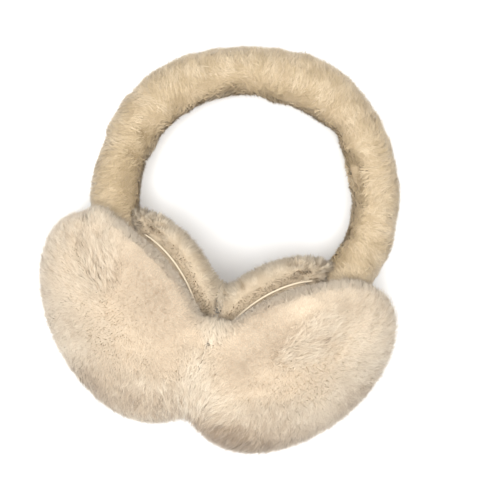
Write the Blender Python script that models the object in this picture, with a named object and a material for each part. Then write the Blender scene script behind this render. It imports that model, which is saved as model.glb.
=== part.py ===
# Fur earmuffs: a plush headband and two deep-fur muffs, lying on their back.
# The pieces are modelled as worn (X to the side, -Y to the front, +Z up, origin at the
# middle of the headband's arch), and one empty then lays them down on z = 0.

import math

import bmesh
import bpy
from mathutils import Matrix, Vector
from mathutils.geometry import delaunay_2d_cdt

# Driving dimensions, in metres and degrees
BAND_HALF_WIDTH = 0.0728      # centre line of the headband, at the height of its middle
BAND_RADIUS = 0.0140          # plush tube
BAND_REACH = 37.0             # degrees that each end goes on below the widest place

PAD_RADIUS = 0.0640           # outer fur, measured to the pile's surface
PAD_HEIGHT = 0.0340           # outer fur, from the seam to the top of the dome
SEAM_RADIUS = 0.0460          # where the outer fur and the ear ring are sewn together
RING_RADIUS = 0.0570          # ear side
RING_DEPTH = 0.0205
EAR_RADIUS = 0.0230           # open hollow for the ear
EAR_OVAL = 1.20               # its height over its width
PIPING_RADIUS = 0.0011

MUFF_SWIVEL = 42.0            # degrees that each outer face is turned to the front
BAND_BURIED = 0.0178          # how far the headband goes in from the ear ring's rim
BAND_INSET = 0.0042           # the headband's ends, on the ear's side of the seam
RING_PRESS = 0.0024           # how far the plush is pressed in where it rests
BAND_PRESS = 0.0014

CLEARANCE = 0.0003            # between pieces that touch

LOCK_LENGTH = 0.0220          # locks of the outer fur
LOCK_WIDTH = 0.0150
LOCK_RELIEF = 0.0022
PRESSED_MIDDLE = -58.0        # degrees round the muff from the band to the pressed flank
PRESSED_REACH = 78.0
PLEATS = 20                   # gathers round the ear ring
PLEAT_DEPTH = 0.0006
GATHER_DEPTH = 0.0016         # deeper ones beside the headband
GATHER_MIDDLE = -36.0         # degrees round the muff from the band
GATHER_REACH = 34.0
PIPING_HIDDEN = 8.0           # degrees of the piping lost among the deeper gathers

# Mesh fineness
BAND_SIDES = 14
BAND_STEPS = 54
PAD_MESH = 0.0050             # length of a triangle's edge
RING_SIDES = 60
PIPING_SIDES = 5
PIPING_STEPS = 40

# The two muffs, left and right as the front is looked at
# columns: word, side, degrees that the top leans outwards, degrees round the muff from
# its own top to the headband, share of BAND_BURIED
MUFFS = [
    ("left", -1, 40.5, -13.4, 1.09),
    ("right", 1, 38.0, -11.2, 0.94),
]

# Headband: its centre line and thickness, round the arch's middle
# columns: degrees up from the right, share of BAND_HALF_WIDTH, share of BAND_RADIUS
BAND_FORM = [
    (-37.0, 1.023, 1.00),
    (-20.0, 1.019, 0.99),
    (0.0, 1.004, 0.97),
    (18.0, 0.973, 1.03),
    (32.0, 0.973, 1.01),
    (46.0, 0.979, 0.94),
    (62.0, 0.963, 1.09),
    (76.0, 0.933, 1.12),
    (90.0, 0.908, 1.10),
    (102.0, 0.915, 0.97),
    (116.0, 0.918, 1.00),
    (130.0, 0.937, 1.05),
    (147.0, 0.960, 1.08),
    (165.0, 0.977, 1.06),
    (182.0, 0.989, 0.98),
    (200.0, 1.019, 1.00),
    (217.0, 1.023, 1.00),
]

# Dents of the tube
# columns: degrees up from the right, degrees round the tube from its outer side to the
# front, depth, half length, half width; the last three are shares of BAND_RADIUS
BAND_DENTS = [
    (28.0, 138.0, 0.22, 0.95, 0.80),
    (15.0, 150.0, 0.20, 1.10, 0.80),
    (-2.0, 155.0, 0.10, 0.80, 0.90),
    (168.0, 125.0, 0.13, 0.90, 0.90),
    (178.0, 120.0, 0.10, 0.60, 0.90),
    (174.0, 25.0, 0.07, 0.35, 1.40),
    (108.0, 150.0, 0.09, 1.20, 0.90),
    (52.0, 60.0, 0.06, 0.80, 1.20),
    (120.0, 265.0, 0.08, 1.00, 1.20),
    (40.0, 280.0, 0.08, 1.00, 1.20),
]

# Outer fur, from the seam's groove to its widest place
# columns: share of the radius beyond the seam, share of PAD_HEIGHT, then the same two
# on the pressed flank at the front
PAD_FLANK = [
    (0.22, 0.06, 0.10, 0.12),
    (0.48, 0.09, 0.20, 0.22),
    (0.72, 0.13, 0.32, 0.32),
    (0.90, 0.20, 0.44, 0.41),
    (1.00, 0.31, 0.54, 0.50),
]
PAD_DOME_POWER = 0.84         # under 1 is fuller than an ellipse

# Ear ring, from the seam's groove round the ear side to the wall of the ear's hollow
# columns: share from the ear hollow (0) to the rim (1), share of RING_DEPTH
RING_SECTION = [
    (0.88, 0.11),
    (0.98, 0.24),
    (1.00, 0.42),
    (0.96, 0.64),
    (0.84, 0.86),
    (0.64, 0.99),
    (0.42, 1.00),
    (0.20, 0.90),
    (0.04, 0.70),
    (0.00, 0.40),
    (0.00, 0.00),
]


def clear_scene():
    for thing in list(bpy.data.objects):
        bpy.data.objects.remove(thing)


def material(name, colour, roughness):
    """A plain cloth or fur finish."""
    made = bpy.data.materials.new(name)
    made.use_nodes = True
    shader = made.node_tree.nodes["Principled BSDF"]
    shader.inputs["Base Color"].default_value = (*colour, 1.0)
    shader.inputs["Roughness"].default_value = roughness
    shader.inputs["Metallic"].default_value = 0.0
    made.diffuse_color = (*colour, 1.0)
    return made


def add_object(name, mesh, finish=None, parent=None):
    made = bpy.data.objects.new(name, mesh)
    bpy.context.scene.collection.objects.link(made)
    made.parent = parent
    if finish:
        mesh.materials.append(finish)
    return made


def add_empty(name, parent=None):
    return add_object(name, None, parent=parent)


def finish_mesh(bm, name):
    """Points the faces out and hands the bmesh over as a smooth mesh of flat triangles."""
    bmesh.ops.remove_doubles(bm, verts=bm.verts, dist=1e-6)
    bmesh.ops.triangulate(bm, faces=bm.faces)
    bmesh.ops.recalc_face_normals(bm, faces=bm.faces)
    mesh = bpy.data.meshes.new(name)
    bm.to_mesh(mesh)
    bm.free()
    mesh.shade_smooth()
    return mesh


def bump(distance, reach):
    """1 at distance 0, falling smoothly to 0 at reach."""
    share = min(abs(distance) / reach, 1.0)
    return (1.0 - share * share) ** 2


def join_rings(bm, rings, closed=False):
    """Faces between successive rings of vertices, each ring a closed loop."""
    pairs = list(zip(rings, rings[1:] + rings[:1])) if closed else list(zip(rings, rings[1:]))
    for lower, upper in pairs:
        count = len(lower)
        for i in range(count):
            j = (i + 1) % count
            bm.faces.new((lower[i], lower[j], upper[j], upper[i]))


# Headband


def read_form(degrees, column):
    """Smooth reading of BAND_FORM between its rows."""
    for lower, upper in zip(BAND_FORM, BAND_FORM[1:]):
        if degrees <= upper[0]:
            part = max(0.0, (degrees - lower[0]) / (upper[0] - lower[0]))
            ease = part * part * (3.0 - 2.0 * part)
            return lower[column] + (upper[column] - lower[column]) * ease
    return BAND_FORM[-1][column]


def band_point(degrees):
    """Centre line of the headband; its frame starts at the middle of the arch."""
    radius = BAND_HALF_WIDTH * read_form(degrees, 1)
    turn = math.radians(degrees)
    return Vector((radius * math.cos(turn), 0.0, radius * math.sin(turn)))


def band_direction(degrees):
    return (band_point(degrees + 2.0) - band_point(degrees - 2.0)).normalized()


def band_radius_at(degrees, around):
    """Radius of the plush tube, with its dents."""
    radius = BAND_RADIUS * read_form(degrees, 2)
    for place, centre, depth, length, width in BAND_DENTS:
        along = bump(math.radians(degrees - place) * BAND_HALF_WIDTH, length * BAND_RADIUS)
        turn = (around - centre + 180.0) % 360.0 - 180.0
        across = bump(math.radians(turn) * BAND_RADIUS, width * BAND_RADIUS)
        radius -= depth * BAND_RADIUS * along * across
    return radius


def band_mesh(name, grow=0.0):
    """The tube with its dents. grow makes it thicker and longer, for the pocket it sits in."""
    bm = bmesh.new()
    first, last = -BAND_REACH, 180.0 + BAND_REACH
    rings = []
    for i in range(BAND_STEPS + 1):
        degrees = first + (last - first) * i / BAND_STEPS
        along = band_direction(degrees)
        outwards = Vector((along.z, 0.0, -along.x))
        front = Vector((0.0, -1.0, 0.0))
        longer = grow * ((i == BAND_STEPS) - (i == 0))
        ring = []
        for k in range(BAND_SIDES):
            around = 360.0 * k / BAND_SIDES
            radius = band_radius_at(degrees, around) + grow
            turn = math.radians(around)
            direction = outwards * math.cos(turn) + front * math.sin(turn)
            ring.append(bm.verts.new(band_point(degrees) + direction * radius + along * longer))
        rings.append(ring)
    join_rings(bm, rings)
    for ring in (rings[0], rings[-1]):
        bm.faces.new(ring)
    return finish_mesh(bm, name)


# Muffs. In a muff's own frame +Z points to the headband, +Y to the back, and side * X
# points away from the head; x = 0 is the seam's plane. Angles run from +Z to +Y.


def pressed(degrees):
    """How far the flank is pressed flat at an angle round the muff: 0 to 1."""
    turn = (degrees - PRESSED_MIDDLE + 180.0) % 360.0 - 180.0
    return bump(turn, PRESSED_REACH)


def pad_profile(press):
    """(distance from the axis, height) from the seam to the pole."""
    spread = PAD_RADIUS - SEAM_RADIUS
    rows = [(SEAM_RADIUS, 0.0), (SEAM_RADIUS, PIPING_RADIUS + CLEARANCE)]
    for out, up, pressed_out, pressed_up in PAD_FLANK:
        share_out = out + (pressed_out - out) * press
        share_up = up + (pressed_up - up) * press
        rows.append((SEAM_RADIUS + share_out * spread, share_up * PAD_HEIGHT))
    widest, base = rows[-1]
    steps = round(1.2 * PAD_RADIUS / PAD_MESH)
    for i in range(1, steps + 1):
        angle = math.pi / 2 * i / steps
        out = math.cos(angle) ** PAD_DOME_POWER if i < steps else 0.0
        up = math.sin(angle) ** PAD_DOME_POWER
        rows.append((widest * out, base + (PAD_HEIGHT - base) * up))
    return rows


def lock_rows(length):
    """Rows of lock tips: their distance from the pole and how many locks each row has."""
    count = round(length / (0.45 * LOCK_LENGTH))
    rows = []
    for i in range(1, count + 1):
        tip = length * i / count
        girth = 2 * math.pi * PAD_RADIUS * math.sin(math.pi / 2 * min(1.0, 1.15 * tip / length))
        rows.append((tip, max(4, round(girth / LOCK_WIDTH))))
    return rows


def lock_height(from_pole, around, rows, side):
    """Relief of the overlapping locks, combed from the pole outwards."""
    best = 0.0
    for number, (tip, count) in enumerate(rows):
        back = tip - from_pole
        if not 0.0 <= back <= LOCK_LENGTH:
            continue
        shift = 0.37 * number + 0.13 * side
        sway = 0.14 * math.sin(4.0 * around + 1.7 * number)
        place = (around / (2 * math.pi) * count + shift + sway) % 1.0 - 0.5
        taper = 0.35 + 0.65 * min(1.0, back / (0.5 * LOCK_LENGTH))
        across = max(0.0, 1.0 - (place / (0.5 * taper)) ** 2)
        rise = min(1.0, back / (0.2 * LOCK_LENGTH)) * (1.0 - 0.7 * back / LOCK_LENGTH)
        best = max(best, across * rise)
    return best * LOCK_RELIEF


def distances_from_pole(profile):
    """Along the profile from the pole, and the same on a flat sheet that keeps angles."""
    along, flat = [0.0], [0.0]
    rows = list(reversed(profile))
    for (r0, h0), (r1, h1) in zip(rows, rows[1:]):
        step = math.hypot(r1 - r0, h1 - h0)
        along.append(along[-1] + step)
        flat.append(flat[-1] * math.exp(2 * step / (r0 + r1)) if flat[-1] else r1)
    return along[::-1], flat[::-1]


def fur_pad_mesh(side):
    """Outer fur: a flat-backed dome whose surface is overlapping locks. Its points lie in
    rows round the pole, and the rows are joined by triangles of even size."""
    round_profile = pad_profile(0.0)
    along, flat = distances_from_pole(round_profile)
    locks = lock_rows(along[0])
    seam_row = round(2 * math.pi * SEAM_RADIUS / PAD_MESH)
    sheet, solid = [], []
    for i, (row_radius, _) in enumerate(round_profile):
        count = seam_row if i < 2 else max(1, round(2 * math.pi * row_radius / PAD_MESH))
        for k in range(count):
            around = 2 * math.pi * (k + 0.5 * (i % 2) * (i > 1)) / count
            profile = pad_profile(pressed(math.degrees(around)))
            radius, height = profile[i]
            if i > 1:
                before, after = profile[i - 1], profile[min(i + 1, len(profile) - 1)]
                slope = Vector((after[0] - before[0], after[1] - before[1])).normalized()
                relief = min(1.0, (i - 1) / 4) * lock_height(along[i], around, locks, side)
                radius += relief * slope.y
                height -= relief * slope.x
            across, up = math.sin(around), math.cos(around)
            sheet.append(Vector((flat[i] * across, flat[i] * up)))
            solid.append(Vector((side * height, radius * across, radius * up)))
    bm = bmesh.new()
    verts = [bm.verts.new(point) for point in solid]
    _, _, faces, *_ = delaunay_2d_cdt(sheet, [], [], 0, 1e-7)
    for face in faces:
        bm.faces.new([verts[i] for i in face])
    bm.faces.new(verts[:seam_row])
    return finish_mesh(bm, "fur_pad")


def ear_ring_mesh(side):
    """Ear side: a padded ring round the ear's open hollow, with gathers in its cover."""
    bm = bmesh.new()
    rings = []
    for k in range(RING_SIDES):
        around = 2 * math.pi * k / RING_SIDES
        gathered = bump((math.degrees(around) - GATHER_MIDDLE + 180.0) % 360.0 - 180.0, GATHER_REACH)
        oval = 1.0 + (EAR_OVAL - 1.0) * math.cos(around) ** 2
        hollow = EAR_RADIUS * oval
        seam = (SEAM_RADIUS - hollow) / (RING_RADIUS - hollow)
        groove = (PIPING_RADIUS + CLEARANCE) / (RING_DEPTH - CLEARANCE)
        ring = []
        for out, deep in [(seam, 0.0), (seam, groove)] + RING_SECTION:
            fold = 0.5 * (1.0 + math.cos(PLEATS * around)) * math.sin(math.pi * min(1.0, deep * 1.1))
            gather = (PLEAT_DEPTH + GATHER_DEPTH * gathered) * fold
            radius = hollow + (RING_RADIUS - hollow) * out
            depth = CLEARANCE + (RING_DEPTH - CLEARANCE) * deep
            radius -= gather * out * (deep > groove)
            depth -= gather * (deep > groove)
            ring.append(bm.verts.new((-side * depth, radius * math.sin(around), radius * math.cos(around))))
        rings.append(ring)
    join_rings(bm, rings, closed=True)
    return finish_mesh(bm, "ear_ring")


def piping_mesh(side, entry):
    """Thin cord sewn into the groove at the seam, open where the headband comes in."""
    bm = bmesh.new()
    radius = SEAM_RADIUS + PIPING_RADIUS + 2 * CLEARANCE
    beside = math.degrees(math.asin((BAND_RADIUS + 2 * PIPING_RADIUS + 4 * CLEARANCE) / SEAM_RADIUS))
    start = entry + beside
    turned = 360.0 - 2 * beside - PIPING_HIDDEN
    rings = []
    for k in range(PIPING_STEPS + 1):
        around = math.radians(start + turned * k / PIPING_STEPS)
        ring = []
        for n in range(PIPING_SIDES):
            turn = 2 * math.pi * n / PIPING_SIDES
            r = radius + PIPING_RADIUS * math.cos(turn)
            x = PIPING_RADIUS * math.sin(turn) - side * CLEARANCE / 2
            ring.append(bm.verts.new((x, r * math.sin(around), r * math.cos(around))))
        rings.append(ring)
    join_rings(bm, rings)
    for ring in (rings[0], rings[-1]):
        bm.faces.new(ring)
    return finish_mesh(bm, "piping")


# Cutters


def box_cutter(name, low, high, parent=None):
    bm = bmesh.new()
    size = [b - a for a, b in zip(low, high)]
    centre = [(a + b) / 2 for a, b in zip(low, high)]
    bmesh.ops.create_cube(bm, size=1.0, matrix=Matrix.Translation(centre) @ Matrix.Diagonal((*size, 1.0)))
    return hide_cutter(add_object(name, finish_mesh(bm, name), parent=parent))


def hide_cutter(cutter):
    cutter.hide_render = True
    cutter.display_type = "WIRE"
    return cutter


def cut(piece, cutter, why):
    boolean = piece.modifiers.new(why, "BOOLEAN")
    boolean.operation = "DIFFERENCE"
    boolean.object = cutter
    boolean.solver = "EXACT"


def place_muff(word, side, lean, entry, buried, parent):
    """Frame of one muff, leaned, swivelled to the front and hung on the headband's end."""
    muff = add_empty("muff_" + word, parent)
    muff.rotation_mode = "ZYX"
    muff.rotation_euler = (0.0, side * math.radians(lean), -side * math.radians(MUFF_SWIVEL))
    end = band_point(-BAND_REACH if side > 0 else 180.0 + BAND_REACH)
    depth = RING_RADIUS - buried * BAND_BURIED
    turn = math.radians(entry)
    seat = Vector((-side * BAND_INSET, depth * math.sin(turn), depth * math.cos(turn)))
    muff.location = end - muff.rotation_euler.to_matrix() @ seat
    return muff


def worn_points(piece):
    """The piece's points in the frame of the whole, as worn."""
    place = piece.parent.matrix_basis if piece.parent.parent else Matrix.Identity(4)
    return [place @ vertex.co for vertex in piece.data.vertices]


def lay_down(earmuffs, band, rings, pads):
    """Lays the whole on its back, with the ear rings and the headband's crown on the table."""
    band_points = worn_points(band)
    ring_points = [point for ring in rings for point in worn_points(ring)]
    least, most = 0.0, math.radians(45.0)
    for _ in range(24):
        tilt = (least + most) / 2
        lay = Matrix.Rotation(-math.pi / 2 - tilt, 4, "X")
        ring_low = min((lay @ point).z for point in ring_points) + RING_PRESS
        band_low = min((lay @ point).z for point in band_points) + BAND_PRESS
        if band_low > ring_low:
            least = tilt
        else:
            most = tilt
    pad_points = [point for pad in pads for point in worn_points(pad)]
    laid = [lay @ point for point in band_points + ring_points + pad_points]
    middle = [(min(p[axis] for p in laid) + max(p[axis] for p in laid)) / 2 for axis in (0, 1)]
    earmuffs.rotation_euler = lay.to_euler()
    earmuffs.location = (-middle[0], -middle[1], -ring_low)


def main():
    clear_scene()
    fur = material("fur", (0.86, 0.79, 0.66), 0.95)
    plush = material("plush", (0.83, 0.74, 0.58), 0.95)
    lining = material("ring_plush", (0.84, 0.76, 0.62), 0.95)
    trim = material("piping", (0.90, 0.82, 0.68), 0.85)

    earmuffs = add_empty("earmuffs")
    band = add_object("headband", band_mesh("headband"), plush, earmuffs)
    pads, rings, cords = [], [], []
    for word, side, lean, entry, buried in MUFFS:
        muff = place_muff(word, side, lean, entry, buried, earmuffs)
        pads.append(add_object(f"fur_pad_{word}", fur_pad_mesh(side), fur, muff))
        rings.append(add_object(f"ear_ring_{word}", ear_ring_mesh(side), lining, muff))
        cords.append(add_object(f"piping_{word}", piping_mesh(side, entry), trim, muff))
    lay_down(earmuffs, band, rings, pads)

    reach = 4 * PAD_RADIUS + 2 * BAND_HALF_WIDTH
    half_gap = CLEARANCE / 2
    table = box_cutter("table_cutter", (-reach, -reach, -reach), (reach, reach, 0.0))
    pocket = hide_cutter(add_object("pocket_cutter", band_mesh("pocket", CLEARANCE), parent=earmuffs))
    cut(band, table, "rests_on_table")
    for pad, ring, cord, (word, side, *_) in zip(pads, rings, cords, MUFFS):
        low = (-reach if side > 0 else -half_gap, -reach, -reach)
        high = (half_gap if side > 0 else reach, reach, reach)
        other = box_cutter(f"meeting_cutter_{word}", low, high, earmuffs)
        for piece in (pad, ring):
            cut(piece, pocket, "pocket_for_band")
            cut(piece, table, "rests_on_table")
        for piece in (pad, ring, cord):
            cut(piece, other, "meets_other_muff")


main()
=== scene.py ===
# Fur earmuffs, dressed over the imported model: deep pile on the domes, short plush on the
# headband and the ear rings, a thin piping at each seam. Lengths are in metres.

import math

import bmesh
import bpy
import numpy as np
from mathutils import Euler, Matrix, Vector
from mathutils.kdtree import KDTree


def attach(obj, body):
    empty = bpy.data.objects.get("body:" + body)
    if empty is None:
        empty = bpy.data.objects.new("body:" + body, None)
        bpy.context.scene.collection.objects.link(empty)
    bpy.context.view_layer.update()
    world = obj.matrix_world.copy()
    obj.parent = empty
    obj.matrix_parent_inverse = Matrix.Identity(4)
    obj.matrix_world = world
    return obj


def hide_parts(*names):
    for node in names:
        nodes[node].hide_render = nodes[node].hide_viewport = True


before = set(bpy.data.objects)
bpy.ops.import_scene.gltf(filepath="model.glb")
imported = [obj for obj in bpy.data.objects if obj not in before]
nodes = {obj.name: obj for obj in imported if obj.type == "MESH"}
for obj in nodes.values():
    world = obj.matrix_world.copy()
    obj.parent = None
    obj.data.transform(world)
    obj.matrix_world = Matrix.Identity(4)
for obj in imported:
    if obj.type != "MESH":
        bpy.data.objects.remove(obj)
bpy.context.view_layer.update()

# How the whole lies on the table, and where each muff sits on it
laid = {"tip": -103.432, "middle": (0.00061, 0.03307, 0.029669)}
muffs = {
    "left": {"side": -1, "lean": 40.5, "seat": (-0.041922, -0.044081, 0.044327)},
    "right": {"side": 1, "lean": 38.0, "seat": (0.042352, -0.046500, 0.045586)},
}
swivel = 42.0

laidTurn = Matrix.Rotation(math.radians(laid["tip"]), 3, "X")


# Numbers and directions


def unit(rows):
    length = np.linalg.norm(rows, axis=1, keepdims=True)
    return rows / np.maximum(length, 1e-12)


def dot(a, b):
    return (a * b).sum(axis=1)


def layFlat(ways, normals):
    # takes out of each direction what points off the surface
    return ways - normals * dot(ways, normals)[:, None]


def ramp(value, low, high):
    share = np.clip((value - low) / (high - low), 0.0, 1.0)
    return share * share * (3.0 - 2.0 * share)


def hill(value, middle, reach):
    share = np.clip(np.abs(value - middle) / reach, 0.0, 1.0)
    return (1.0 - share * share) ** 2


def turnTo(value, middle):
    return (value - middle + 180.0) % 360.0 - 180.0


def waves(points, size, seed):
    # smooth, repeatable unevenness from -1 to 1, a few crossing waves of about that size
    draw = np.random.default_rng(seed)
    total = np.zeros(len(points))
    for _ in range(7):
        way = unit(draw.normal(size=(1, 3)))[0]
        total += np.sin(points @ way * (2 * math.pi / size * draw.uniform(0.7, 1.5)) + draw.uniform(0, 6.28))
    return np.clip(total / 3.2, -1.0, 1.0)


def muffAxes(word):
    muff = muffs[word]
    turn = Euler((0.0, muff["side"] * math.radians(muff["lean"]), -muff["side"] * math.radians(swivel)), "ZYX")
    return np.array(laidTurn @ turn.to_matrix())


def inMuff(word, points):
    # height over the seam (the dome's side is positive), distance from the axis, degrees from the headband
    local = (points - np.array(muffs[word]["seat"])) @ muffAxes(word)
    height = muffs[word]["side"] * local[:, 0]
    out = np.hypot(local[:, 1], local[:, 2])
    return height, out, np.degrees(np.arctan2(local[:, 1], local[:, 2]))


def muffWay(word, points):
    # two directions at each point: away from the muff's axis, and out of the dome
    axes = muffAxes(word)
    local = (points - np.array(muffs[word]["seat"])) @ axes
    local[:, 0] = 0.0
    return unit(local) @ axes.T, np.tile(muffs[word]["side"] * axes[:, 0], (len(points), 1))


def bySide(points, read):
    # reads each point in the frame of its own muff
    left = points[:, 0] < 0.0
    first, second = read("left", points), read("right", points)
    return [np.where(left[:, None] if a.ndim > 1 else left, a, b) for a, b in zip(first, second)]


def inBand(points):
    # degrees along the headband, up from the right
    local = (points - np.array(laid["middle"])) @ np.array(laidTurn)
    degrees = np.degrees(np.arctan2(local[:, 2], local[:, 0]))
    return np.where(degrees < -90.0, degrees + 360.0, degrees)


view = {"turn": 14.3, "pixel": 0.00056, "distance": 0.60, "middle": (7.0, -5.0), "drop": -57.0, "frame": 480}


def photoView():
    # right, up and back of the camera, and its place, in the frame of the object as worn
    turn = math.radians(view["turn"])
    right = Vector((math.cos(turn), 0.0, math.sin(turn)))
    up = Vector((-math.sin(turn), 0.0, math.cos(turn)))
    back = right.cross(up)
    aside, rise = view["middle"]
    across = (math.cos(turn) * aside + math.sin(turn) * rise) * view["pixel"]
    high = (view["drop"] - (-math.sin(turn) * aside + math.cos(turn) * rise)) * view["pixel"]
    return right, up, back, Vector((across, 0.0, high)) + back * view["distance"]


def seen(points, normals):
    # where each point falls in the picture, in pixels, and how far it faces the camera
    right, up, back, place = (np.array(part) for part in photoView())
    turn = np.array(laidTurn)
    local = (points - np.array(laid["middle"])) @ turn - place
    scale = view["distance"] / view["pixel"] / -(local @ back)
    half = view["frame"] / 2
    spot = np.stack([half + local @ right * scale, half - local @ up * scale], axis=1)
    return spot, ramp(normals @ turn @ back, 0.0, 0.35)


def acrossPicture(shift):
    # a direction in the picture, as a direction in space
    right, up, _, _ = (np.array(part) for part in photoView())
    return unit((shift[:, :1] * right - shift[:, 1:] * up) @ np.array(laidTurn).T)


def oval(spot, mark):
    # a soft oval: x, y, half its length, half its width, degrees clockwise from level
    x, y, length, width, turn = mark
    cos, sin = math.cos(math.radians(turn)), math.sin(math.radians(turn))
    aside, down = spot[:, 0] - x, spot[:, 1] - y
    far = ((aside * cos + down * sin) / length) ** 2 + ((down * cos - aside * sin) / width) ** 2
    return np.clip(1.0 - far, 0.0, 1.0) ** 1.5


# Shader maths: a socket that takes + - * and ** in plain expressions


class Tap:
    def __init__(self, kit, socket):
        self.kit, self.socket = kit, socket

    def mixWith(self, operation, other, swap=False):
        pair = (other, self) if swap else (self, other)
        return self.kit.add("ShaderNodeMath", {"operation": operation}, {0: pair[0], 1: pair[1]})

    def __add__(self, other):
        return self.mixWith("ADD", other)

    def __radd__(self, other):
        return self.mixWith("ADD", other, True)

    def __sub__(self, other):
        return self.mixWith("SUBTRACT", other)

    def __rsub__(self, other):
        return self.mixWith("SUBTRACT", other, True)

    def __mul__(self, other):
        return self.mixWith("MULTIPLY", other)

    def __rmul__(self, other):
        return self.mixWith("MULTIPLY", other, True)

    def __pow__(self, other):
        return self.mixWith("POWER", other)

    def __rpow__(self, other):
        return self.mixWith("POWER", other, True)


class Finish:
    def __init__(self, name):
        self.material = bpy.data.materials.new(name)
        self.material.use_nodes = True
        self.tree = self.material.node_tree
        self.shader = self.tree.nodes["Principled BSDF"]

    def add(self, kind, settings=None, inputs=None, output=0):
        node = self.tree.nodes.new(kind)
        for key, value in (settings or {}).items():
            if key == "stops":
                while len(node.color_ramp.elements) < len(value):
                    node.color_ramp.elements.new(0.5)
                for element, (place, colour) in zip(node.color_ramp.elements, value):
                    element.position = place
                    element.color = (*colour, 1.0)
            else:
                setattr(node, key, value)
        for key, value in (inputs or {}).items():
            self.feed(node.inputs[key], value)
        return Tap(self, node.outputs[output])

    def feed(self, socket, value):
        if isinstance(value, Tap):
            self.tree.links.new(value.socket, socket)
        elif hasattr(value, "__len__") and len(value) == 3 and socket.type == "RGBA":
            socket.default_value = (*value, 1.0)
        else:
            socket.default_value = value

    def blend(self, share, first, second):
        # colours only
        return self.add("ShaderNodeMix", {"data_type": "RGBA"}, {0: share, 6: first, 7: second}, 2)

    def noise(self, size, detail, rough):
        place = self.add("ShaderNodeTexCoord", output=3)  # Object coordinates
        return self.add(
            "ShaderNodeTexNoise", None, {"Vector": place, "Scale": 1.0 / size, "Detail": detail, "Roughness": rough}
        )

    def bump(self, height, strength, distance):
        made = self.add("ShaderNodeBump", None, {"Height": height, "Strength": strength, "Distance": distance})
        self.feed(self.shader.inputs["Normal"], made)

    def set(self, **values):
        for key, value in values.items():
            self.feed(self.shader.inputs[key.replace("_", " ")], value)


pileMap = "OFBake"  # the name of the pile's own map
pileSheen = 0.25


def pileFinish(name, look):
    # strands read their own map: across is how light the strand is, painted shade and light included, up runs from
    # root to tip
    made = Finish(name)
    spot = made.add("ShaderNodeUVMap", {"uv_map": pileMap})
    tone = made.add("ShaderNodeSeparateXYZ", None, {0: spot}, 0)
    along = made.add("ShaderNodeSeparateXYZ", None, {0: spot}, 1)
    deep = made.blend(tone, look["darkRoot"], look["lightRoot"])
    tip = made.add("ShaderNodeValToRGB", {"stops": look["tips"]}, {0: tone})
    made.set(
        Base_Color=made.blend(along**0.7, deep, tip),
        Roughness=0.92 - 0.18 * along,
        Sheen_Weight=pileSheen,
        Sheen_Roughness=0.5,
        Specular_IOR_Level=0.25,
    )
    return made.material


def backingFinish(name, look):
    # the cloth and under-fur that the strands grow from
    made = Finish(name)
    fibre = made.noise(look["grain"], 4.0, 0.65)
    patch = made.noise(look["patch"], 2.0, 0.5)
    cloth = made.blend(0.65 * fibre + 0.35 * patch, look["dark"], look["light"])
    if "shade" in look:  # darker where the pile over it is painted darker; partly painted shade, from the piece's own attribute
        zone = made.add("ShaderNodeAttribute", {"attribute_name": "zone"}, None, 2)
        cloth = made.blend(-1.0 * zone, cloth, look["shade"])
    made.set(
        Base_Color=cloth,
        Roughness=0.86 + 0.12 * fibre,
        Sheen_Weight=0.25,
        Sheen_Roughness=0.5,
        Specular_IOR_Level=0.2,
    )
    made.bump(fibre, look["bump"], 0.0006)
    return made.material


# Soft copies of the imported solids


def applyModifiers(piece):
    graph = bpy.context.evaluated_depsgraph_get()
    mesh = bpy.data.meshes.new_from_object(piece.evaluated_get(graph))
    piece.modifiers.clear()
    old = piece.data
    piece.data = mesh
    bpy.data.meshes.remove(old)
    mesh.name = piece.name


def coordinates(mesh):
    flat = np.empty(len(mesh.vertices) * 3, np.float32)
    mesh.vertices.foreach_get("co", flat)
    return flat.reshape(-1, 3).astype(float)


def vertexNormals(mesh):
    flat = np.empty(len(mesh.vertices) * 3, np.float32)
    mesh.vertex_normals.foreach_get("vector", flat)
    return flat.reshape(-1, 3).astype(float)


def setCoordinates(mesh, points):
    mesh.vertices.foreach_set("co", points.astype(np.float32).ravel())
    mesh.update()


def smoothSoft(piece, factor, times):
    smooth = piece.modifiers.new("soften", "SMOOTH")
    smooth.factor = factor
    smooth.iterations = times
    applyModifiers(piece)


meeting = {"overlap": 0.0026, "reach": 0.006}


def softCopy(taken, name, voxel, plugs=()):
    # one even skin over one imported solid, or over several that touch
    mesh = bpy.data.meshes.new(name)
    bm = bmesh.new()
    for node in taken:
        bm.from_mesh(nodes[node].data)
    bmesh.ops.remove_doubles(bm, verts=bm.verts, dist=1e-5)
    if len(taken) > 1:
        for vert in bm.verts:  # the two halves are let into each other, so that they become one
            side = 1.0 if vert.co.x > 0.0 else -1.0
            vert.co.x -= side * meeting["overlap"] * max(0.0, 1.0 - abs(vert.co.x) / meeting["reach"])
    for x, y, z, radius in plugs:  # pile that closes the groove between the two halves
        bmesh.ops.create_icosphere(bm, subdivisions=2, radius=radius, matrix=Matrix.Translation((x, y, z)))
    bm.to_mesh(mesh)
    bm.free()
    piece = bpy.data.objects.new(name, mesh)
    bpy.context.scene.collection.objects.link(piece)
    remesh = piece.modifiers.new("even", "REMESH")
    remesh.mode = "VOXEL"
    remesh.voxel_size = voxel
    applyModifiers(piece)
    return piece


def meetMiddle(piece):
    # a cover reaches the plane where the two muffs are pressed together
    place, normal = coordinates(piece.data), vertexNormals(piece.data)
    side = np.where(place[:, 0].mean() > 0.0, 1.0, -1.0)
    near = ramp(np.abs(place[:, 0]), 0.0032, 0.0012) * ramp(-side * normal[:, 0], 0.2, 0.6)
    place[:, 0] += (side * 0.00008 - place[:, 0]) * near
    setCoordinates(piece.data, place)


clothLook = {"frames": 20, "quality": 4, "stiffness": 25}


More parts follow.
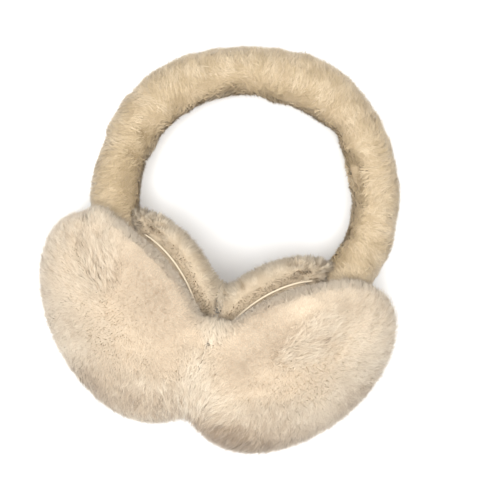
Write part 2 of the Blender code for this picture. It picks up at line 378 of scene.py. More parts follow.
def puff(piece, pressure, most):
    # cloth filled with air for a moment, so that the cover rounds out as stuffing makes it
    start = coordinates(piece.data)
    cloth = piece.modifiers.new("cover", "CLOTH")
    cloth.settings.use_pressure = True
    cloth.settings.uniform_pressure_force = pressure
    cloth.settings.effector_weights.gravity = 0.0
    cloth.settings.quality = clothLook["quality"]
    cloth.settings.tension_stiffness = clothLook["stiffness"]
    cloth.settings.compression_stiffness = clothLook["stiffness"]
    scene = bpy.context.scene
    for count in range(1, clothLook["frames"] + 1):
        scene.frame_set(count)
    shaped = piece.evaluated_get(bpy.context.evaluated_depsgraph_get())
    moved = coordinates(shaped.data) - start
    piece.modifiers.clear()
    far = np.linalg.norm(moved, axis=1, keepdims=True)
    setCoordinates(piece.data, start + moved * np.minimum(1.0, most / np.maximum(far, 1e-9)))
    scene.frame_set(1)


def finishPiece(piece, material, node):
    piece.data.materials.clear()
    piece.data.materials.append(material)
    piece.data.shade_smooth()
    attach(piece, "root")
    if node:
        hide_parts(node)


# Pile


def spread(mesh, count, draw, weigh=None):
    # points spread evenly over a mesh, with its smooth normals
    mesh.calc_loop_triangles()
    corners = np.empty(len(mesh.loop_triangles) * 3, np.int32)
    mesh.loop_triangles.foreach_get("vertices", corners)
    corners = corners.reshape(-1, 3)
    place, normal = coordinates(mesh), vertexNormals(mesh)
    a, b, c = (place[corners[:, i]] for i in range(3))
    area = 0.5 * np.linalg.norm(np.cross(b - a, c - a), axis=1)
    if weigh is not None:
        area = area * weigh((a + b + c) / 3.0, unit(np.cross(b - a, c - a)))
    total = np.cumsum(area)
    picks = (np.arange(count) + draw.random(count)) / count * total[-1]
    face = np.minimum(np.searchsorted(total, picks), len(total) - 1)
    root, part = np.sqrt(draw.random(count)), draw.random(count)
    share = np.stack([1.0 - root, root * (1.0 - part), root * part], axis=1)
    points = (place[corners[face]] * share[:, :, None]).sum(axis=1)
    normals = unit((normal[corners[face]] * share[:, :, None]).sum(axis=1))
    return points, normals


def gatherInto(points, centres):
    # which clump each strand belongs to
    tree = KDTree(len(centres))
    for number, centre in enumerate(centres):
        tree.insert(centre, number)
    tree.balance()
    return np.array([tree.find(point)[1] for point in points])


tableGap = 0.0003  # no strand goes lower over the table
clearOfTable = 0.001  # the pile is pressed away below this, where a piece rests


def pressed(middle, facing):
    return ramp(-facing[:, 2], 0.9, 0.98) * (middle[:, 2] < clearOfTable)


def pileMesh(name, root, middle, tip, width, normal, tone, ruffle, draw):
    # one flat tapered strand for each root: a strip of two vertices, two more, and the tip
    count = len(root)
    across = unit(np.cross(tip - root, normal))
    twist = draw.uniform(-0.9, 0.9, (count, 1))
    lift = unit(np.cross(across, tip - root))
    across = across * np.cos(twist) + lift * np.sin(twist)
    half = 0.5 * width[:, None] * across
    place = np.stack([root - half, root + half, middle + 0.72 * half, middle - 0.72 * half, tip], axis=1)
    place[:, :, 2] = np.maximum(place[:, :, 2], tableGap)
    mesh = bpy.data.meshes.new(name)
    mesh.vertices.add(count * 5)
    mesh.vertices.foreach_set("co", place.astype(np.float32).ravel())
    first = np.arange(count, dtype=np.int32)[:, None] * 5
    loops = (first + np.array([[0, 1, 2, 3, 3, 2, 4]], dtype=np.int32)).ravel()
    starts = (np.arange(count, dtype=np.int32)[:, None] * 7 + np.array([[0, 4]], dtype=np.int32)).ravel()
    mesh.loops.add(count * 7)
    mesh.loops.foreach_set("vertex_index", loops)
    mesh.polygons.add(count * 2)
    mesh.polygons.foreach_set("loop_start", starts)
    mesh.update(calc_edges=True)
    mesh.shade_smooth()
    layer = mesh.uv_layers.new(name=pileMap)
    spots = np.empty((count, 7, 2), np.float32)
    spots[:, :, 0] = np.clip(tone, 0.02, 0.98)[:, None]
    spots[:, :, 1] = np.array([0.02, 0.02, 0.55, 0.55, 0.55, 0.55, 0.98])
    layer.uv.foreach_set("vector", spots.ravel())
    soft = unit(normal + ruffle[:, None] * draw.normal(size=normal.shape))
    soft = np.repeat(soft[:, None, :], 5, axis=1).reshape(-1, 3)
    mesh.normals_split_custom_set_from_vertices(soft.astype(np.float32).tolist())
    piece = bpy.data.objects.new(name, mesh)
    bpy.context.scene.collection.objects.link(piece)
    return piece


def bothPiles(name, points, parts, draw):
    # one pile for each muff, parted at the middle
    left = points[:, 0] < 0.0
    piles = []
    for word, mine in (("left", left), ("right", ~left)):
        piles.append(pileMesh(f"{name}{word.capitalize()}", *[part[mine] for part in parts], draw))
    return piles


def markTones(marks, spot, facing):
    # how much lighter or darker the marks make each point
    total = np.zeros(len(spot))
    for mark, shift in marks:
        total += shift * oval(spot, mark) * facing
    return total


# Outer fur

domeLook = {
    "darkRoot": (0.56, 0.43, 0.30),
    "lightRoot": (0.77, 0.65, 0.50),
    "tips": [(0.0, (0.34, 0.24, 0.16)), (0.32, (0.65, 0.52, 0.38)),
             (0.66, (0.83, 0.71, 0.55)), (1.0, (0.97, 0.87, 0.71))],
}
domeBacking = {"dark": (0.58, 0.47, 0.34), "light": (0.70, 0.58, 0.44), "shade": (0.28, 0.23, 0.175), "grain": 0.0009,
               "patch": 0.02, "bump": 0.6}
dome = {
    "strands": 60000,       # on each dome
    "voxel": 0.0026,
    "clumps": 8000,
    "depth": 0.0045,        # how far under the pile's surface the strands start
    "lean": 0.0080,         # how far a strand is combed sideways
    "width": 0.00033,
    "backing": 0.0016,      # how deep the backing lies
    "combed": 0.0016,       # and how much deeper under combed strands
    "merge": 0.030,         # the two domes' pile runs together this near the middle
    "fillTimes": 90,
    "shoulder": (106, 208, 30, 15, -24),    # an oval in the picture, where the left pile stands up
    "shoulderRise": 0.0060,
    "closeSeam": 0.0020,    # the pile's edge leans this far towards the seam
    "comb": {"calm": 0.42, "whorl": 0.60, "skirt": 0.60, "edge": 0.30, "most": 1.15},
    "strays": {"calm": 0.06, "skirt": 0.10, "edge": 0.16, "reach": (0.0006, 0.0026)},
    "pull": {"calm": 0.05, "whorl": 0.50, "skirt": 0.40},  # how far tips are drawn into their clump
    "tone": 0.66,
    "clumpTone": {"calm": 0.045, "whorl": 0.17, "skirt": 0.12},
}
# pile that closes the groove between the domes: x, y, z, radius
domePlugs = [(0.0, -0.0352, 0.0866, 0.0056), (0.0, -0.0376, 0.0895, 0.0065), (0.0, -0.0429, 0.0900, 0.0068),
             (0.0, -0.0487, 0.0890, 0.0068), (0.0, -0.0560, 0.0850, 0.0070), (0.0, -0.0631, 0.0790, 0.0070)]
# places on the domes, as ovals in the picture: x, y, half length, half width, degrees clockwise
domeMarks = {
    # where the strands show, the point they fan out from, and how strongly
    "fans": [((95, 260, 46, 30, 90), (102, 330), 1.0), ((316, 338, 62, 28, -36), (254, 396), 1.0),
             ((66, 350, 84, 27, 64), (124, 300), 0.8), ((150, 402, 64, 28, 14), (165, 346), 0.9),
             ((258, 430, 92, 30, -6), (276, 326), 0.75), ((364, 392, 66, 28, -50), (298, 338), 0.75)],
    # where the pile lies smooth beside the seam
    "lens": [(168, 286, 54, 20, 56), (266, 308, 36, 13, -32)],
    # where the fur is lighter or darker; low on the domes and on their flanks
    # this stands partly for the shade in the photo, so it stays when the light changes
    # the lighter ones where the domes meet are painted light over the shade of the groove between them
    "tones": [((164, 288, 60, 28, 56), -0.20), ((264, 312, 42, 18, -32), -0.24), ((194, 366, 24, 15, 100), 0.24),
              ((156, 308, 88, 46, 58), -0.38), ((254, 346, 62, 36, -38), -0.44), ((150, 374, 36, 26, 20), -0.22),
              ((132, 258, 26, 18, 58), -0.14), ((238, 380, 30, 24, 90), -0.14), ((284, 324, 24, 12, -30), -0.14),
              ((112, 386, 42, 22, 48), -0.20), ((214, 436, 40, 16, 0), -0.20), ((208, 347, 12, 9, 90), 0.24),
              ((340, 300, 44, 14, 10), -0.12),
              ((366, 346, 46, 26, -66), 0.26), ((228, 448, 74, 30, 4), -0.66), ((88, 392, 56, 18, 50), -0.42),
              ((355, 408, 60, 14, -48), -0.36), ((78, 238, 16, 12, 0), -0.14), ((196, 424, 12, 18, 90), -0.30),
              ((150, 412, 56, 20, 18), -0.30), ((260, 418, 46, 22, 0), -0.12), ((300, 440, 60, 13, -14), -0.26),
              ((100, 352, 54, 36, 60), -0.12), ((320, 350, 50, 30, -30), 0.08)],
    # pile that reaches over the foot of the headband, and over the ends of the ear rings
    "tufts": [((113, 218, 34, 12, 28), 0.0045), ((350, 284, 36, 9, -3), 0.0030), ((210, 335, 34, 20, 0), 0.0090)],
}


def keepZone(mesh, values):
    layer = mesh.attributes.new("zone", "FLOAT", "POINT")
    layer.data.foreach_set("value", values.astype(np.float32))


def fanShare(spot, facing):
    shares = [np.minimum(1.0, 1.4 * oval(spot, mark)) * strength for mark, _, strength in domeMarks["fans"]]
    return np.max(shares, axis=0) * facing


def sumOf(amounts, **shares):
    # the calm amount, and what each share adds to it
    return amounts["calm"] + sum(amounts[word] * share for word, share in shares.items())


def fillValley(skin, reach, times):
    # the pile of the two domes closes over the groove between them
    mesh = skin.data
    ends = np.empty(len(mesh.edges) * 2, np.int32)
    mesh.edges.foreach_get("vertices", ends)
    ends = ends.reshape(-1, 2)
    place = coordinates(mesh)
    share = ramp(np.abs(place[:, 0]), reach, 0.15 * reach)[:, None]
    links = np.bincount(ends.ravel(), minlength=len(place))[:, None]
    for _ in range(times):
        total = np.zeros_like(place)
        np.add.at(total, ends[:, 0], place[ends[:, 1]])
        np.add.at(total, ends[:, 1], place[ends[:, 0]])
        place = place + share * 0.6 * (total / links - place)
    before, normal = coordinates(mesh), vertexNormals(mesh)
    outward = np.maximum(dot(place - before, normal), 0.0)
    setCoordinates(mesh, before + normal * outward[:, None])
    smoothSoft(skin, 0.5, 4)


def domePile():
    draw = np.random.default_rng(100)
    skin = softCopy(["fur_pad_left", "fur_pad_right"], "pileSkin", dome["voxel"], domePlugs)
    smoothSoft(skin, 0.5, 3)
    fillValley(skin, dome["merge"], dome["fillTimes"])
    place, normal = coordinates(skin.data), vertexNormals(skin.data)
    spot, facing = seen(place, normal)
    rise = dome["shoulderRise"] * oval(spot, dome["shoulder"]) * (0.35 + 0.65 * facing)

    height, _, around = bySide(place, inMuff)
    outwards = bySide(place, muffWay)[1]
    near = hill(turnTo(around, -70.0), 0.0, 80.0) * ramp(height, 0.022, 0.010) * ramp(height, 0.0, 0.004)
    near *= ramp(dot(normal, outwards), 0.30, -0.20)
    lower = outwards * (dome["closeSeam"] * near)[:, None]
    setCoordinates(skin.data, place + normal * rise[:, None] - lower)
    smoothSoft(skin, 0.5, 2)

    def grows(middle, facing):
        height = bySide(middle, inMuff)[0]
        outwards = bySide(middle, muffWay)[1]
        flat = ramp(-dot(facing, outwards), 0.75, 0.95) * (height < 0.0035)
        return 1.0 - 0.97 * np.maximum(flat, pressed(middle, facing))

    count = 2 * dome["strands"]
    points, normals = spread(skin.data, count, draw, grows)
    centres, _ = spread(skin.data, 2 * dome["clumps"], draw, grows)
    group = gatherInto(points, centres)
    height, out, around = bySide(points, inMuff)
    away, outwards = bySide(points, muffWay)
    spot, facing = seen(points, normals)

    backside = ramp(-dot(normals, outwards), 0.3, 0.8) * ramp(height, 0.008, 0.003)
    skirt = ramp(out, 0.043, 0.058) * (1.0 - hill(turnTo(around, -60.0), 0.0, 100.0)) * (1.0 - backside)
    skirt *= 1.0 - ramp(np.abs(points[:, 0]), 0.034, 0.014) * ramp(spot[:, 1], 405.0, 370.0)
    slope = ramp(height, 0.030, 0.008)
    crown = ramp(out + 0.006 * waves(points, 0.02, 13), 0.004, 0.030)
    nearMiddle = ramp(np.abs(points[:, 0]), 0.016, 0.002)

    flow = away * (1.0 - 0.75 * slope)[:, None] - outwards * (0.75 * slope)[:, None]
    flow = flow * crown[:, None]
    for mark, focus, _ in domeMarks["fans"]:
        here = np.minimum(1.0, 1.4 * oval(spot, mark)) * (0.3 + 0.7 * facing)
        fan = acrossPicture(spot - np.array(focus, float))
        flow = flow * (1.0 - here)[:, None] + 1.1 * fan * here[:, None]
    whorl = fanShare(spot, facing) * ramp(waves(points, 0.012, 5), -1.0, 0.3)
    flow[:, 0] *= 1.0 - 0.92 * nearMiddle
    flow[:, 1] -= 0.5 * nearMiddle
    flow = flow + np.cross(normals, flow) * (waves(points, 0.032, 7)[:, None] * 0.30)
    flow = layFlat(flow, normals)
    combed = np.clip(np.linalg.norm(flow, axis=1), 0.0, 1.0)
    flow = flow + (0.50 - 0.30 * np.maximum(skirt, whorl))[:, None] * draw.normal(size=points.shape)
    flow = unit(layFlat(flow, normals))
    clumpTurn = draw.normal(0.0, 1.0, len(centres))[group] * (0.03 + 0.22 * whorl + 0.10 * skirt)
    flow = unit(flow + np.cross(normals, flow) * (clumpTurn + draw.normal(0.0, 0.14, count))[:, None])

    lens = np.zeros(count)
    for mark in domeMarks["lens"]:
        lens = np.maximum(lens, np.minimum(1.0, 1.5 * oval(spot, mark)) * facing)
    edge = (1.0 - facing) * (1.0 - backside)
    comb = sumOf(dome["comb"], whorl=whorl, skirt=skirt, edge=edge)
    lean = dome["lean"] * np.minimum(comb, dome["comb"]["most"]) * (1.0 - 0.30 * slope * (1.0 - lens))
    lean *= (1.0 - 0.7 * backside) * (0.65 + 0.35 * combed) * draw.uniform(0.7, 1.2, count)
    depth = dome["depth"] * (1.0 - 0.8 * backside) * draw.uniform(0.9, 1.1, count)
    over = draw.normal(0.0, 1.0, count) * (0.00022 + 0.00035 * edge) - 0.0004
    over += draw.normal(size=len(centres))[group] * (0.0002 + 0.0004 * whorl) + 0.0008 * skirt + 0.0006 * nearMiddle
    stray = (draw.random(count) < sumOf(dome["strays"], skirt=skirt, edge=edge)) * (1.0 - lens) * (1.0 - backside)
    over += stray * draw.uniform(*dome["strays"]["reach"], count)

    pull = sumOf(dome["pull"], whorl=whorl, skirt=skirt) + draw.normal(0.0, 0.10, count)
    pull = np.clip(pull, 0.0, 0.9)
    offset = layFlat(centres[group] - points, normals)
    tip = points + normals * over[:, None] + offset * pull[:, None]
    upward = acrossPicture(np.stack([draw.normal(0.0, 0.35, count), -np.ones(count)], axis=1))
    upward -= 0.7 * np.array(laidTurn @ photoView()[2])
    for mark, reach in domeMarks["tufts"]:
        tip += upward * (reach * oval(spot, mark) * draw.uniform(0.2, 1.0, count))[:, None]
    root = points - normals * depth[:, None] - flow * lean[:, None]
    middle = 0.5 * (root + tip) + normals * (0.22 * depth)[:, None]
    uneven = sumOf(dome["clumpTone"], whorl=whorl, skirt=skirt)
    tone = dome["tone"] + draw.normal(size=len(centres))[group] * uneven
    tone += (0.065 + 0.05 * skirt) * draw.normal(size=count) + 0.06 * waves(points, 0.045, 11)
    # the strays differ at random; the middle tuft gets painted light, over the shade of the groove under it
    tone += stray * draw.uniform(-0.1, 0.25, count) + 0.10 * oval(spot, domeMarks["tufts"][2][0])
    tone += markTones(domeMarks["tones"], spot, facing)
    width = dome["width"] * draw.uniform(0.7, 1.2, count) * (1.0 - 0.4 * stray)
    ruffle = 0.05 + 0.08 * whorl + 0.10 * skirt
    bpy.data.objects.remove(skin)
    return bothPiles("furPile", points, (root, middle, tip, width, normals, tone, ruffle), draw)


def domeBackingPiece(word):
    # the cloth under the pile: it goes in under the fur, and stays put on its flat side
    skin = softCopy([f"fur_pad_{word}"], f"furBacking{word.capitalize()}", dome["voxel"])
    smoothSoft(skin, 0.5, 3)
    place, normal = coordinates(skin.data), vertexNormals(skin.data)
    height = inMuff(word, place)[0]
    spot, facing = seen(place, normal)
    combed = np.maximum(fanShare(spot, facing), ramp(np.abs(place[:, 0]), 0.02, 0.006))
    deep = dome["backing"] + dome["combed"] * np.maximum(combed, 1.0 - facing)
    normal[:, 0] *= ramp(np.abs(place[:, 0]), 0.0002, 0.003)
    # the backing takes the marks' tones too, so it carries the same painted shade
    keepZone(skin.data, markTones(domeMarks["tones"], spot, facing))
    setCoordinates(skin.data, place - normal * (deep * ramp(height, 0.0005, 0.006))[:, None])
    meetMiddle(skin)
    return skin


# Ear rings

ringLook = {
    "darkRoot": (0.44, 0.34, 0.23),
    "lightRoot": (0.68, 0.57, 0.43),
    "tips": [(0.0, (0.36, 0.27, 0.18)), (0.35, (0.56, 0.45, 0.31)),
             (0.66, (0.645, 0.545, 0.405)), (1.0, (0.80, 0.70, 0.555))],
}
ringBacking = {"dark": (0.50, 0.40, 0.285), "light": (0.64, 0.54, 0.40), "grain": 0.0007, "patch": 0.012, "bump": 0.5}
ring = {
    "strands": 46000,
    "voxel": 0.0020,
    "depth": 0.0024,
    "lean": 0.0036,
    "width": 0.00030,
    "over": 0.0003,
    "under": 0.0018,
    "merge": 0.026,
    "fillTimes": 120,
    "clumps": 3200,
    "pleats": 34,
    "pleatDepth": 0.0004,
    "rim": (0.040, 0.047),  # folds start outside this, from the muff's axis
    "puff": (2.0, 0.0006),
    "strays": {"share": 0.12, "reach": (0.0003, 0.0013)},
    "belly": 0.0003,        # how far a strand bends out at its middle
    "tone": 0.62,
    "foldShading": 0.38,
}
ringPlugs = [(0.0, -0.0168, 0.0650, 0.0042), (0.0, -0.0192, 0.0695, 0.0048), (0.0, -0.0231, 0.0718, 0.0052),
             (0.0, -0.0275, 0.0722, 0.0054), (0.0, -0.0323, 0.0716, 0.0054), (0.0, -0.0365, 0.0705, 0.0052)]
gathers = {"around": -40.0, "height": -0.0015, "out": 0.049, "reach": 0.019, "folds": 13, "depth": 0.0013}
# pile that leans against the headband: the oval in the picture, and the way it leans
ringTufts = [((140, 214, 15, 14, 0), (-0.4, 1.0), 0.0022), ((332, 262, 13, 16, 90), (0.5, 1.0), 0.0022)]
# where the rings are painted darker or lighter: painted shade in the folds, in the crease beside the piping and at
# the headband's feet, and a little painted light where the rings meet
ringShading = [((225, 292, 8, 4, 62), -0.50), ((243, 287, 10, 4, 62), -0.65), ((255, 291, 12, 3, 72), -0.25),
             ((326, 262, 14, 10, 90), -0.16), ((280, 288, 36, 5, -22), -0.46), ((142, 215, 9, 5, 80), -0.40),
             ((296, 280, 13, 2.6, 4), -0.55), ((294, 273, 13, 2.6, 24), -0.42), ((309, 270, 8, 2.4, 52), -0.50),
             ((319, 265, 10, 2.2, 88), -0.50), ((325, 263, 11, 2.2, 88), -0.50), ((331, 261, 11, 2.4, 90), -0.50),
             ((203, 300, 26, 12, 60), 0.06), ((208, 313, 14, 9, 60), 0.08),
             ((221, 321, 14, 8, -32), 0.08)]


def gatherFolds(word, place):
    # folds that fan out from where the cover is caught beside the headband
    height, _, around = inMuff(word, place)
    rise = -(height - gathers["height"])
    run = np.radians(turnTo(around, gathers["around"])) * gathers["out"]
    far = np.hypot(rise, run)
    fan = np.arctan2(run, rise)
    near = ramp(far, 0.0012, 0.004) * (1.0 - ramp(far, 0.007, gathers["reach"]))
    folds = np.sin(fan * gathers["folds"] + 3.0 * waves(place, 0.03, 5))
    seamShare = ramp(-height, 0.0008, 0.0030) * (1.0 - ramp(-height, 0.004, 0.013))
    fine = np.sin(np.radians(around) * ring["pleats"] + 2.2 * waves(place, 0.035, 9))
    fineHere = 0.35 + 0.65 * (0.5 + 0.5 * waves(place, 0.05, 21))
    return gathers["depth"] * near * folds + ring["pleatDepth"] * seamShare * fine * fineHere


def ringCover(word):
    skin = softCopy([f"ear_ring_{word}"], f"ringCover{word.capitalize()}", ring["voxel"])
    smoothSoft(skin, 0.5, 4)
    puff(skin, *ring["puff"])
    smoothSoft(skin, 0.5, 4)
    place, normal = coordinates(skin.data), vertexNormals(skin.data)
    height, out, _ = inMuff(word, place)
    rim = ramp(out, *ring["rim"])
    under = np.maximum(ramp(-height, 0.0002, 0.0016), ramp(out, 0.0435, 0.0460))
    under *= ring["under"] * (1.0 + 0.4 * ramp(np.abs(place[:, 0]), 0.012, 0.003))
    setCoordinates(skin.data, place + normal * (gatherFolds(word, place) * rim - under)[:, None])
    meetMiddle(skin)
    return skin


def ringPile():
    draw = np.random.default_rng(200)
    skin = softCopy(["ear_ring_left", "ear_ring_right"], "ringSkin", ring["voxel"], ringPlugs)
    smoothSoft(skin, 0.5, 9)
    fillValley(skin, ring["merge"], ring["fillTimes"])
    place, normal = coordinates(skin.data), vertexNormals(skin.data)
    (folds,) = bySide(place, lambda word, at: (gatherFolds(word, at),))
    out = bySide(place, inMuff)[1]
    setCoordinates(skin.data, place + normal * (folds * ramp(out, *ring["rim"]))[:, None])

    def grows(middle, facing):
        out = bySide(middle, inMuff)[1]
        outwards = bySide(middle, muffWay)[1]
        flat = ramp(dot(facing, outwards), 0.80, 0.96) * ramp(out, 0.0455, 0.0430)
        return 1.0 - 0.95 * np.maximum(flat, pressed(middle, facing))

    count = 2 * ring["strands"]
    points, normals = spread(skin.data, count, draw, grows)
    centres, _ = spread(skin.data, 2 * ring["clumps"], draw, grows)
    group = gatherInto(points, centres)
    (folds,) = bySide(points, lambda word, at: (gatherFolds(word, at),))
    away, outwards = bySide(points, muffWay)
    flow = -outwards + 0.5 * away
    flow = flow + np.cross(normals, flow) * (waves(points, 0.016, 31)[:, None] * 0.6)
    nearMiddle = ramp(np.abs(points[:, 0]), 0.007, 0.001)
    flow[:, 0] *= 1.0 - 0.9 * nearMiddle
    flow = unit(layFlat(flow, normals))
    flow = unit(flow + 0.35 * draw.normal(size=points.shape))
    depth = ring["depth"] * draw.uniform(0.8, 1.1, count)
    lean = ring["lean"] * draw.uniform(0.3, 1.5, count)
    over = ring["over"] + draw.normal(0.0, 0.00025, count)
    offset = layFlat(centres[group] - points, normals)
    pull = np.clip(0.30 + draw.normal(0.0, 0.15, count), 0.0, 0.8)
    over += 0.0003 * draw.normal(size=len(centres))[group] + 0.0005 * nearMiddle
    over += (draw.random(count) < ring["strays"]["share"]) * draw.uniform(*ring["strays"]["reach"], count)
    tip = points + normals * over[:, None] + flow * (0.5 * lean)[:, None] + offset * pull[:, None]
    spot, facing = seen(points, normals)
    for mark, way, reach in ringTufts:
        droop = facing * reach * oval(spot, mark) * draw.uniform(0.2, 1.0, count)
        tip += acrossPicture(np.array([way]) + 0.3 * draw.normal(size=spot.shape)) * droop[:, None]
    # the roots stand straight under the pile, and lean only under the last tuft
    root = points - normals * depth[:, None] - flow * (0.5 * droop)[:, None]
    middle = 0.5 * (root + tip) + normals * ring["belly"]
    tone = ring["tone"] + 0.09 * draw.normal(size=count) + 0.14 * waves(points, 0.02, 41)
    tone += 0.08 * draw.normal(size=len(centres))[group]
    # painted shade in the folds' hollows and painted light on their tops
    tone += np.clip(folds / 0.0008, -1.0, 1.0) * ring["foldShading"]
    tone += markTones(ringShading, spot, facing)
    width = ring["width"] * draw.uniform(0.7, 1.2, count)
    ruffle = np.full(count, 0.10)
    bpy.data.objects.remove(skin)
    return bothPiles("ringPlush", points, (root, middle, tip, width, normals, tone, ruffle), draw)


# Headband

bandLook = {
    "darkRoot": (0.46, 0.35, 0.21),
    "lightRoot": (0.64, 0.52, 0.36),
    "tips": [(0.0, (0.33, 0.24, 0.13)), (0.35, (0.53, 0.41, 0.25)),
             (0.66, (0.655, 0.520, 0.34)), (1.0, (0.84, 0.71, 0.52))],
}
bandBacking = {"dark": (0.52, 0.41, 0.27), "light": (0.64, 0.52, 0.36), "grain": 0.0007, "patch": 0.012, "bump": 0.5}
band = {
    "strands": 60000,
    "voxel": 0.0020,
    "clumps": 5200,
    "depth": 0.0024,
    "lean": 0.0048,
    "width": 0.00036,
    "over": 0.0002,
    "puff": (2.0, 0.0010),
    "nap": (-1.3, 1.0, 0.050),  # the way the pile is brushed, how far it wanders, over what length
    "strays": {"share": 0.12, "reach": (0.0003, 0.0012)},
    "belly": 0.0003,
    "tone": 0.65,
    "innerShade": 0.26,
    "coverDepth": 0.0025,
}
bandMarks = {
    # an oval in the picture with how deep it goes, and below with how much lighter or darker it is
    "dents": [((131, 156, 15, 7, 62), 0.0015), ((141, 136, 12, 6, 50), 0.0012), ((105, 138, 12, 5, -62), 0.0011),
              ((356, 172, 26, 8, 66), 0.0017), ((358, 203, 16, 6, -60), 0.0011), ((128, 204, 16, 7, 80), 0.0010),
              ((344, 262, 18, 9, -35), 0.0012), ((205, 62, 22, 7, 60), 0.0007), ((290, 66, 20, 7, -60), 0.0007),
              ((165, 92, 18, 6, 40), 0.0007), ((372, 245, 16, 7, 40), 0.0008)],
    # tones: painted shade in the dents, painted shadow at the headband's feet beside the rings, painted highlight on
    # its right side and top, and a darker left side
    "tones": [((131, 156, 15, 7, 62), -0.36), ((141, 136, 12, 6, 50), -0.30), ((356, 172, 28, 7, 66), -0.26),
              ((358, 203, 16, 6, -60), -0.20), ((355, 132, 40, 16, 60), 0.16), ((384, 205, 46, 13, 86), 0.14),
              ((250, 62, 90, 16, 0), 0.02),
              ((137, 214, 12, 8, 90), -0.34), ((336, 262, 16, 8, -40), -0.30), ((122, 176, 66, 32, 103), -0.32)],
}


def headband():
    draw = np.random.default_rng(300)
    skin = softCopy(["headband"], "bandCover", band["voxel"])
    smoothSoft(skin, 0.5, 3)
    puff(skin, *band["puff"])
    smoothSoft(skin, 0.5, 3)
    place, normal = coordinates(skin.data), vertexNormals(skin.data)
    spot, facing = seen(place, normal)
    lumps = (0.0004 + 0.0002 * facing) * waves(place, 0.018, 51) + 0.0002 * waves(place, 0.008, 52)
    for mark, deep in bandMarks["dents"]:
        lumps -= deep * oval(spot, mark) * facing
    setCoordinates(skin.data, place + normal * lumps[:, None])

    def grows(middle, facing):
        return 1.0 - 0.95 * pressed(middle, facing)

    count = band["strands"]
    points, normals = spread(skin.data, count, draw, grows)
    centres, _ = spread(skin.data, band["clumps"], draw, grows)
    group = gatherInto(points, centres)
    turn = np.radians(inBand(points))
    along = np.stack([-np.sin(turn), np.zeros(len(turn)), np.cos(turn)], axis=1) @ np.array(laidTurn).T
    across = unit(np.cross(normals, along))
    brushed, wander, length = band["nap"]
    nap = brushed + wander * waves(points, length, 61)
    flow = along * np.cos(nap)[:, None] + across * np.sin(nap)[:, None]
    flow = unit(flow + 0.45 * draw.normal(size=points.shape))
    flow = unit(layFlat(flow, normals))
    depth = band["depth"] * draw.uniform(0.8, 1.1, count)
    lean = band["lean"] * draw.uniform(0.4, 1.4, count)
    over = band["over"] + draw.normal(0.0, 0.00030, count) + 0.0003 * waves(centres, 0.010, 63)[group]
    over += (draw.random(count) < band["strays"]["share"]) * draw.uniform(*band["strays"]["reach"], count)
    tip = points + normals * over[:, None]
    offset = layFlat(centres[group] - points, normals)
    tip += offset * np.clip(0.18 + draw.normal(0.0, 0.15, count), 0.0, 0.8)[:, None]
    root = points - normals * depth[:, None] - flow * lean[:, None]
    middle = 0.5 * (root + tip) + normals * band["belly"]
    spot, facing = seen(points, normals)
    centre = np.stack([np.cos(turn), np.zeros(len(turn)), np.sin(turn)], axis=1) @ np.array(laidTurn).T
    # the inner side of the headband, which faces away from the light, gets painted shade
    inner = ramp(-dot(normals, centre), 0.10, 0.85)
    tone = band["tone"] + 0.08 * draw.normal(size=len(centres))[group] + 0.09 * draw.normal(size=count)
    tone += 0.13 * waves(points, 0.016, 71) - band["innerShade"] * inner
    tone += markTones(bandMarks["tones"], spot, facing)
    width = band["width"] * draw.uniform(0.7, 1.2, count)
    ruffle = np.full(count, 0.12)
    pile = pileMesh("bandPlush", root, middle, tip, width, normals, tone, ruffle, draw)
    place, normal = coordinates(skin.data), vertexNormals(skin.data)
    setCoordinates(skin.data, place - normal * band["coverDepth"])
    return skin, pile


# Piping

piping = {"colour": (0.80, 0.70, 0.54), "shade": (0.66, 0.56, 0.41), "twist": 0.0012, "slim": 0.00035}


def seamPiping(word):
    mesh = nodes[f"piping_{word}"].data.copy()
    mesh.materials.clear()
    bm = bmesh.new()
    bm.from_mesh(mesh)
    bmesh.ops.remove_doubles(bm, verts=bm.verts, dist=1e-5)
    bm.to_mesh(mesh)
    bm.free()
    cord = bpy.data.objects.new(f"seamPiping{word.capitalize()}", mesh)
    bpy.context.scene.collection.objects.link(cord)
    finer = cord.modifiers.new("finer", "SUBSURF")
    finer.levels = finer.render_levels = 2
    applyModifiers(cord)
    place, normal = coordinates(cord.data), vertexNormals(cord.data)
    setCoordinates(cord.data, place - normal * piping["slim"])
    return cord


def pipingFinish():
    made = Finish("pipingCloth")
    weave = made.noise(piping["twist"], 3.0, 0.6)
    made.set(
        Base_Color=made.blend(weave, piping["shade"], piping["colour"]),
        Roughness=0.70 + 0.2 * weave,
        Sheen_Weight=0.2,
        Specular_IOR_Level=0.3,
    )
    made.bump(weave, 0.4, 0.0003)
    return made.material


# Table, light and camera

stageLook = {
    "dark": (0.92, 0.92, 0.92),
    "light": (0.93, 0.93, 0.93),
    "patch": 0.3,
    "size": 3.0,
    "room": (1.0, 0.99, 0.97, 1.0),
    "roomStrength": 0.70,
    "aim": (0.0, 0.0, 0.04),    # what the lights point at
}
lights = [
    # name, place, size, power
    ("keyLight", (0.0, 0.22, 1.12), 0.8, 14.0),
    ("fillLight", (-0.5, -0.3, 1.0), 1.2, 3.0),
]


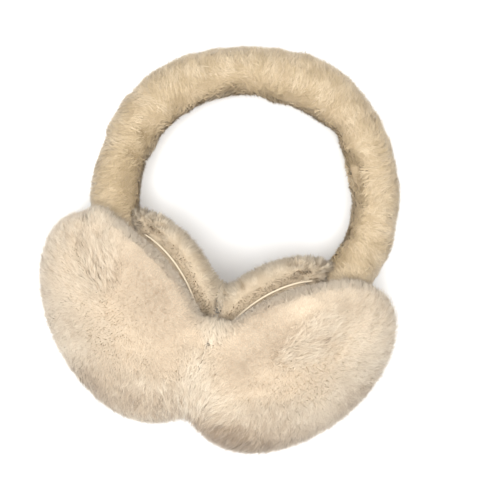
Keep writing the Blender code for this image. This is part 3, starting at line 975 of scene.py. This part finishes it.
def setStage():
    bm = bmesh.new()
    bmesh.ops.create_grid(bm, x_segments=1, y_segments=1, size=stageLook["size"])
    mesh = bpy.data.meshes.new("tableTop")
    bm.to_mesh(mesh)
    bm.free()
    table = bpy.data.objects.new("tableTop", mesh)
    bpy.context.scene.collection.objects.link(table)
    made = Finish("paleTable")
    soft = made.noise(stageLook["patch"], 2.0, 0.5)
    made.set(Base_Color=made.blend(soft, stageLook["dark"], stageLook["light"]), Roughness=0.9)
    table.data.materials.append(made.material)
    world = bpy.data.worlds.new("softRoom")
    world.use_nodes = True
    world.node_tree.nodes["Background"].inputs["Color"].default_value = stageLook["room"]
    world.node_tree.nodes["Background"].inputs["Strength"].default_value = stageLook["roomStrength"]
    bpy.context.scene.world = world
    for name, place, size, power in lights:
        lamp = bpy.data.lights.new(name, "AREA")
        lamp.shape = "DISK"
        lamp.size = size
        lamp.energy = power
        holder = bpy.data.objects.new(name, lamp)
        holder.location = place
        holder.rotation_euler = (Vector(place) - Vector(stageLook["aim"])).to_track_quat("Z", "Y").to_euler()
        bpy.context.scene.collection.objects.link(holder)
    bpy.context.scene.view_settings.view_transform = "Standard"


def setCamera():
    right, up, back, place = photoView()
    worn = Matrix((right, up, back)).transposed().to_4x4()
    worn.translation = place
    whole = laidTurn.to_4x4()
    whole.translation = Vector(laid["middle"])
    lens = bpy.data.cameras.new("photoCamera")
    lens.sensor_width = 36.0
    lens.lens = 36.0 * view["distance"] / (view["frame"] * view["pixel"])
    camera = bpy.data.objects.new("photoCamera", lens)
    camera.matrix_world = whole @ worn
    bpy.context.scene.collection.objects.link(camera)
    bpy.context.scene.camera = camera


setStage()
setCamera()
print("table, light and camera are set")

furCloth, furHair = backingFinish("furBacking", domeBacking), pileFinish("furPile", domeLook)
ringCloth, ringHair = backingFinish("ringCloth", ringBacking), pileFinish("ringPlush", ringLook)
bandCloth, bandHair = backingFinish("bandCloth", bandBacking), pileFinish("bandPlush", bandLook)
cordCloth = pipingFinish()

for word, pile in zip(muffs, domePile()):
    finishPiece(domeBackingPiece(word), furCloth, f"fur_pad_{word}")
    finishPiece(pile, furHair, f"fur_pad_{word}")
    print(f"{word} dome: {len(pile.data.polygons) // 2} strands")

for word, pile in zip(muffs, ringPile()):
    finishPiece(ringCover(word), ringCloth, f"ear_ring_{word}")
    finishPiece(pile, ringHair, f"ear_ring_{word}")
    finishPiece(seamPiping(word), cordCloth, f"piping_{word}")
    print(f"{word} ear ring: {len(pile.data.polygons) // 2} strands")

skin, pile = headband()
finishPiece(skin, bandCloth, "headband")
finishPiece(pile, bandHair, "headband")
print(f"headband: {len(pile.data.polygons) // 2} strands")
